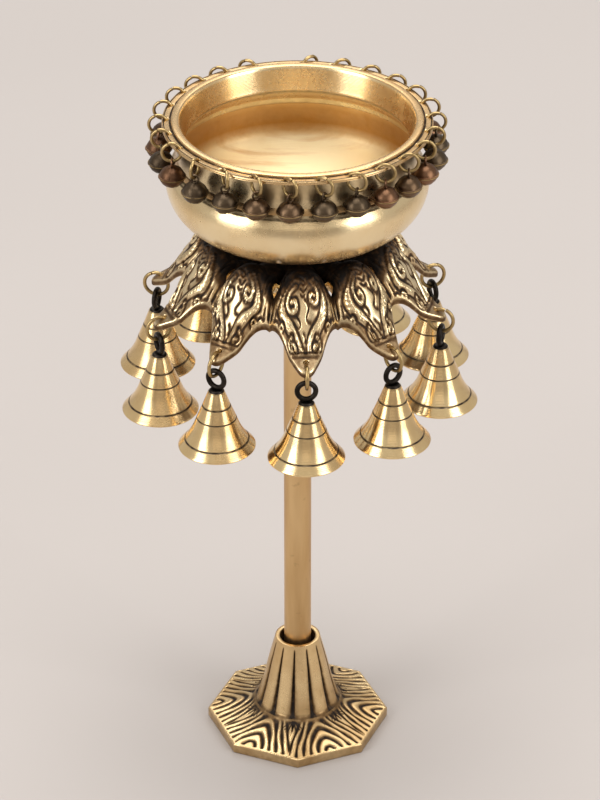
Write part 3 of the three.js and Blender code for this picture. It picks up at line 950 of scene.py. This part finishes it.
def build_bells():
    profile, patina_and_shade = bell_profile()
    body = turned("bell_body", profile, 72, patina_and_shade)
    collar_profile = [[0.02, 0.7], [3.1, 1.2], [3.9, 0.6], [4.35, -0.2], [4.5, -0.9], [0.02, -1.2]]
    collar = turned("bell_collar", smooth(collar_profile, 3), 28)
    loop = tube("bell_loop", circle(BELL_LOOP_R, "yz", 40), 1.5, 14, closed=True)
    staple = tube("bell_staple", circle(STAPLE_R, "yz", 20), 0.55, 8, closed=True)
    ring = tube("crown_ring", ring_path(RING_MID_R, 1.5, 60, 0.25), 1.05, 12)
    eye = tube("clapper_eye", circle(STAPLE_R, "xz", 20), 0.5, 8, closed=True)
    rod = tube("clapper_rod", [[0, 0, -2.0], [0.05, 0, -8], [-0.05, 0, -14], [0, 0, -18]], 0.72, 10)
    ball_profile = smooth([
        [0.02, -17], [1.2, -17.2], [2.7, -18.5], [3.4, -20.6], [2.9, -22.9], [1.5, -24.1], [1.2, -24.6],
        [0.02, -24.8],
    ], 4)
    ball = turned("clapper_ball", ball_profile, 24, closed=False)
    for p in range(PETALS):
        tag = f"{p + 1:02d}"
        angle = TWIST + p * STEP
        ringed = placed(RING_R, angle, RING_Z)
        topped = placed(RING_R, angle, BELL_TOP_Z)
        looped = placed(RING_R, angle, LOOP_Z)
        stapled = placed(RING_R, angle, BELL_TOP_Z - 4.2)
        hung = placed(RING_R, angle, CLAPPER_Z)
        eyed = placed(RING_R, angle, CLAPPER_Z + 1.15 - STAPLE_R)
        bell = f"bell_{tag}"
        clapper = f"clapper_{tag}"
        wire = f"crown_ring_{tag}"
        shown(f"{wire}_wire", ring, RING_BRASS, f"ring_{tag}", [wire], ringed)
        shown(f"{bell}_cone", body, BELL_BRASS, bell, [bell], topped)
        shown(f"{bell}_collar", collar, BLACKENED, bell, [bell], topped)
        shown(f"{bell}_loop", loop, BLACKENED, bell, [bell], looped)
        shown(f"{bell}_staple", staple, BLACKENED, bell, [bell], stapled)
        shown(f"{clapper}_eye", eye, IRON, clapper, [clapper], eyed)
        shown(f"{clapper}_rod", rod, IRON, clapper, [clapper], hung)
        shown(f"{clapper}_ball", ball, IRON, clapper, [clapper], hung)


# ---------------------------------------------------------------- jingles


def jingle_halves():
    """Upper and lower shell with seam lips."""
    upper = [
        [0.02, -8.1], [1.1, -8.2], [2, -8.6], [3.8, -9.3], [5.4, -10.6], [6.5, -12.2], [6.95, -13.9],
        [7.55, -14.05], [7.6, -14.5], [6.3, -14.55], [6, -13.6], [4.6, -11.6], [2.8, -10.2], [0.02, -9.2],
    ]
    lower = [
        [0.02, -20.7], [2.4, -20.4], [4.4, -19.5], [6, -17.9], [6.8, -16.2], [6.95, -15.2], [7.55, -15.05],
        [7.6, -14.65], [6.3, -14.6], [6, -15.8], [5.2, -17.6], [3.8, -19.2], [2.2, -20], [0.02, -20.2],
    ]
    top = turned("jingle_top", upper, 36, closed=False, dents=0.22)
    bottom = turned("jingle_bottom", lower, 36, closed=False, dents=0.22)
    return top, bottom


def box_mesh(name, size, centre):
    """Box with its sides along the axes."""
    signs = [(x, y, z) for z in (-1, 1) for x, y in ((-1, -1), (1, -1), (1, 1), (-1, 1))]
    verts = [[c + s * h / 2 for c, s, h in zip(centre, sign, size)] for sign in signs]
    faces = [(3, 2, 1, 0), (4, 5, 6, 7), (0, 1, 5, 4), (1, 2, 6, 5), (2, 3, 7, 6), (3, 0, 4, 7)]
    return mesh_from(name, verts, faces)


def build_jingles():
    """Ghungroo bells, each with its own flange ring. Their metal is drawn in order round the bowl."""
    top, bottom = jingle_halves()
    bottom = cut(bottom, box_mesh("slot_tool", (11.6, 1.3, 5), (0, 0, -19.6)))
    ring = tube("flange_ring", ring_path(FLANGE_RING_R, 2, 44, 0.3), 0.95, 10)
    loop = tube("jingle_loop", circle(2.2, "yz", 24), 0.6, 8, closed=True)
    neck_profile = [[0.02, -7.6], [1, -7.7], [1.2, -8.3], [2, -8.9], [0.02, -9]]
    neck = turned("jingle_neck", neck_profile, 16, closed=False)
    pellet_profile = smooth([[0.02, -15.8], [1.5, -16.2], [2, -17.6], [1.5, -19], [0.02, -19.4]], 3)
    pellet = turned("jingle_pellet", pellet_profile, 12, closed=False)
    seam_profile = [[7.3, -14.85], [7.72, -14.75], [7.76, -14.55], [7.7, -14.35], [7.3, -14.3]]
    seam = turned("jingle_seam", seam_profile, 36)
    pick = random.Random(11)
    for j in range(JINGLES):
        tag = f"{j + 1:02d}"
        node = f"ghungroo_{tag}"
        body = f"jingle_{tag}"
        facing = jingle_angle(j) + jingle_swivel(j)
        hole = polar(FLANGE_HOLE_R - 0.2, jingle_angle(j), FLANGE_RING_Z)
        centre = hole + polar(FLANGE_RING_OUT, facing, 0)
        matrix = Matrix.Translation(centre) @ Matrix.Rotation(math.radians(facing - 90), 4, "Z")
        metal = JINGLE_METALS[pick.choice([0, 0, 1, 1, 2])]
        lower = Matrix.Translation(Vector((0, 0, -(FLANGE_RING_R + 0.9))) * MM)
        shown(f"{node}_ring", ring, RING_BRASS, body, [node], matrix)
        shown(f"{node}_loop", loop, metal, body, [node], matrix @ lower)
        shown(f"{node}_neck", neck, metal, body, [node], matrix)
        shown(f"{node}_top", top, metal, body, [node], matrix)
        shown(f"{node}_bottom", bottom, metal, body, [node], matrix)
        shown(f"{node}_seam", seam, RING_BRASS, body, [node], matrix)
        shown(f"{node}_pellet", pellet, IRON, body, [node], matrix)


# ---------------------------------------------------------------- stage and light

CARD_Y = -2600
SOFT_WHITE = (1, 0.985, 0.96)
CAMERA_PLACE = (0.0014, -1.9169, 1.36883)
CAMERA_DOWN = 30.872
CAMERA_LENS = 116.1


def build_stage():
    n = Nodes("studio_floor")
    tone = n.spread(n.noise(1.2, 2), 0.35, 0.65)
    n.put(n.shader.inputs["Base Color"], n.mix(tone, rgba("b3adaa"), rgba("b7b1ae")))
    n.put(n.shader.inputs["Roughness"], 0.9)
    corners = [[-6000, -4000, 0], [6000, -4000, 0], [6000, 8000, 0], [-6000, 8000, 0]]
    mesh = mesh_from("studio_floor", corners, [[0, 1, 2, 3]])
    mesh.materials.append(n.material)
    floor = bpy.data.objects.new("studio_floor", mesh)
    bpy.context.scene.collection.objects.link(floor)


def softbox(name, place, target, size, power):
    """Area light that points at a target."""
    data = bpy.data.lights.new(name, "AREA")
    data.shape = "RECTANGLE"
    data.size, data.size_y = size
    data.energy = power
    data.color = SOFT_WHITE
    light = bpy.data.objects.new(name, data)
    bpy.context.scene.collection.objects.link(light)
    light.location = place
    light.rotation_euler = (Vector(target) - Vector(place)).to_track_quat("-Z", "Y").to_euler()


def build_card(name, wide, low, high, light, dark):
    """Cloth behind the camera. It makes the darker bands on the metal."""
    corners = [[-wide, CARD_Y, low], [wide, CARD_Y, low], [wide, CARD_Y, high], [-wide, CARD_Y, high]]
    mesh = mesh_from(name, corners, [[0, 1, 2, 3]])
    n = Nodes(name)
    n.put(n.shader.inputs["Base Color"], n.mix(n.noise(30, 3), rgba(dark), rgba(light)))
    n.put(n.shader.inputs["Roughness"], 0.9)
    mesh.materials.append(n.material)
    card = bpy.data.objects.new(name, mesh)
    bpy.context.scene.collection.objects.link(card)


def build_light():
    world = bpy.data.worlds.new("studio")
    bpy.context.scene.world = world
    world.use_nodes = True
    world.node_tree.nodes["Background"].inputs["Color"].default_value = rgba("f4efe9")
    world.node_tree.nodes["Background"].inputs["Strength"].default_value = 0.62
    target = (0, 0, 0.25)
    softbox("left", (-1.85, -1.25, 1.35), target, (1.1, 1.8), 25)
    softbox("right", (1.85, -1.25, 1.35), target, (1.1, 1.8), 22)
    softbox("top", (0, 0.45, 2.7), target, (2.0, 2.4), 60)
    softbox("backdrop", (0, 2.6, 2.4), (0, 1.6, 0), (2.6, 1.0), 16)


def build_camera():
    data = bpy.data.cameras.new("camera")
    data.sensor_fit = "VERTICAL"
    data.sensor_height = 24
    data.lens = CAMERA_LENS
    camera = bpy.data.objects.new("camera", data)
    camera.location = CAMERA_PLACE
    camera.rotation_euler = (math.radians(90 - CAMERA_DOWN), 0, 0)
    bpy.context.scene.collection.objects.link(camera)
    bpy.context.scene.camera = camera


build_base()
build_pole()
build_bolt()
build_crown()
build_bowl()
build_bells()
build_jingles()
build_stage()
build_card("low_card", 1900, 60, 1150, "aaa39c", "9c958e")
build_card("high_card", 900, 1150, 2200, "f2ece5", "e8e2db")
build_light()
build_camera()
bpy.context.scene.view_settings.view_transform = "Standard"
